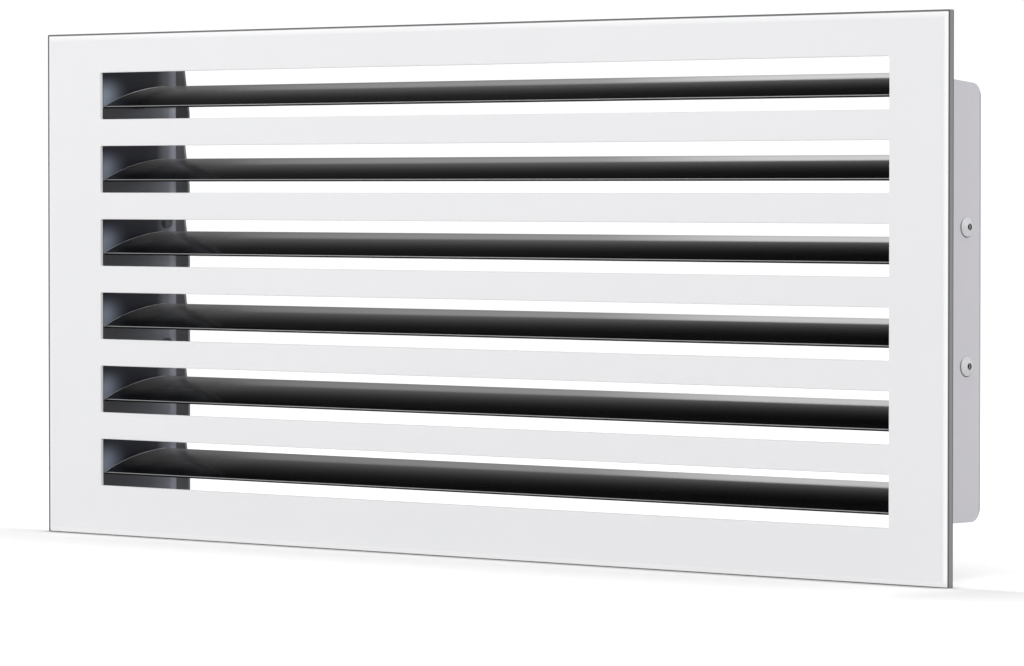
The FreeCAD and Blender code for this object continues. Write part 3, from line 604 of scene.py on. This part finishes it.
# Room: white all round and brighter on the right, with white floor beyond. Its wall behind the
# duct side is dark, but for a bright band low down and a faint glow over the band. The camera
# sees it all as plain white.
ROOM_LIGHT = 0.60
RIGHT_LIGHT = 0.92
RIGHT_START = (0.0, 0.5)
FLOOR_BEYOND = 0.72
BACKDROP = 1.05
WALL_BACK = (-0.05, 0.15)
WALL_RIGHT_END = (-0.45, -0.2)
# The band and the glow: their two ends, their light from one end to the other, and their heights
BAND_START = -0.74
BAND_END = -0.62
BAND_SHARES = [(0.14, 0.0), (0.19, 0.055), (0.30, 0.20), (0.41, 0.266), (0.525, 0.286),
               (0.64, 0.36), (0.75, 0.753), (0.83, 0.934), (0.98, 1.0)]
BAND_LIGHT = (0.50, 1.18)
BAND_LIGHT_HEIGHT = (0.05, 0.333)
BAND_FOOT = (0.03, 0.17)
BAND_FOOT_SHARE = 0.5
BAND_TOP = (0.321, 0.345)
GLOW_SHARES = [(0.14, 0.80), (0.55, 1.0), (0.98, 0.80)]
GLOW_LIGHT = 0.30
GLOW_HEIGHT = (0.30, 0.68)
GLOW_FOOT = (0.0, 0.333)
GLOW_FOOT_SHARE = 0.3
world = bpy.data.worlds.new("studio")
bpy.context.scene.world = world
world.use_nodes = True
net = Wiring(world.node_tree)
room = world.node_tree.nodes["Background"]
room.inputs["Color"].default_value = PURE_WHITE
across, depth, up = net.parts(net.new("ShaderNodeTexCoord").outputs["Generated"])
along_band = net.maths("DIVIDE", net.minus(across, BAND_START), BAND_END - BAND_START)
band = net.between(net.ramp(up, *BAND_LIGHT_HEIGHT), *BAND_LIGHT)
band = net.times(band, net.curve(along_band, BAND_SHARES))
band = net.times(band, net.between(net.ramp(up, *BAND_FOOT), BAND_FOOT_SHARE, 1.0))
band = net.times(band, net.minus(1.0, net.ramp(up, *BAND_TOP)))
glow = net.squared(net.minus(1.0, net.ramp(up, *GLOW_HEIGHT)))
glow = net.times(glow, net.curve(along_band, GLOW_SHARES), GLOW_LIGHT)
glow = net.times(glow, net.between(net.ramp(up, *GLOW_FOOT), GLOW_FOOT_SHARE, 1.0))
on_wall = net.times(net.ramp(depth, *WALL_BACK), net.minus(1.0, net.ramp(across, *WALL_RIGHT_END)))
level = net.between(net.ramp(across, *RIGHT_START), ROOM_LIGHT, RIGHT_LIGHT)
level = net.between(on_wall, level, net.plus(band, glow))
level = net.between(net.maths("LESS_THAN", up, 0.0), level, FLOOR_BEYOND)
level = net.between(net.seen_by_camera(), level, BACKDROP)
net.feed(room.inputs["Strength"], level)


# Soft boxes: two large studio lights with even white faces, one standing at the front left and
# one hanging overhead, both turned to the middle of the cover.
def soft_box(name, place, width, height, radiance):
    """A soft light that faces the middle of the cover."""
    light = bpy.data.lights.new(name, "AREA")
    light.shape = "RECTANGLE"
    light.size = width
    light.size_y = height
    light.energy = radiance * math.pi * width * height
    box = bpy.data.objects.new(name, light)
    bpy.context.scene.collection.objects.link(box)
    box.location = place
    box.rotation_euler = (-Vector(place)).to_track_quat("-Z", "Y").to_euler()


soft_box("soft_box_front", place=(-1.95, -2.75, 1.05), width=2.55, height=1.87, radiance=2.6)
soft_box("soft_box_overhead", place=(0.0, -0.3, 2.2), width=2.2, height=2.2, radiance=0.8)

# Camera: a long lens at the height of the cover, in front of it and well to its right, so that
# the right rim and the right bracket are seen past the faceplate.
CAMERA_PLACE = (1.3427, -1.4415, 0.03765)
CAMERA_TILT = math.radians(88.45)
CAMERA_TURN = math.radians(42.50)
FOCAL_LENGTH = 187.89
lens = bpy.data.cameras.new("camera")
lens.sensor_width = 36
lens.lens = FOCAL_LENGTH
lens.clip_start = 0.05
lens.clip_end = 60
camera = bpy.data.objects.new("camera", lens)
bpy.context.scene.collection.objects.link(camera)
camera.location = CAMERA_PLACE
camera.rotation_euler = (CAMERA_TILT, 0, CAMERA_TURN)
bpy.context.scene.camera = camera
bpy.context.scene.view_settings.view_transform = "Standard"
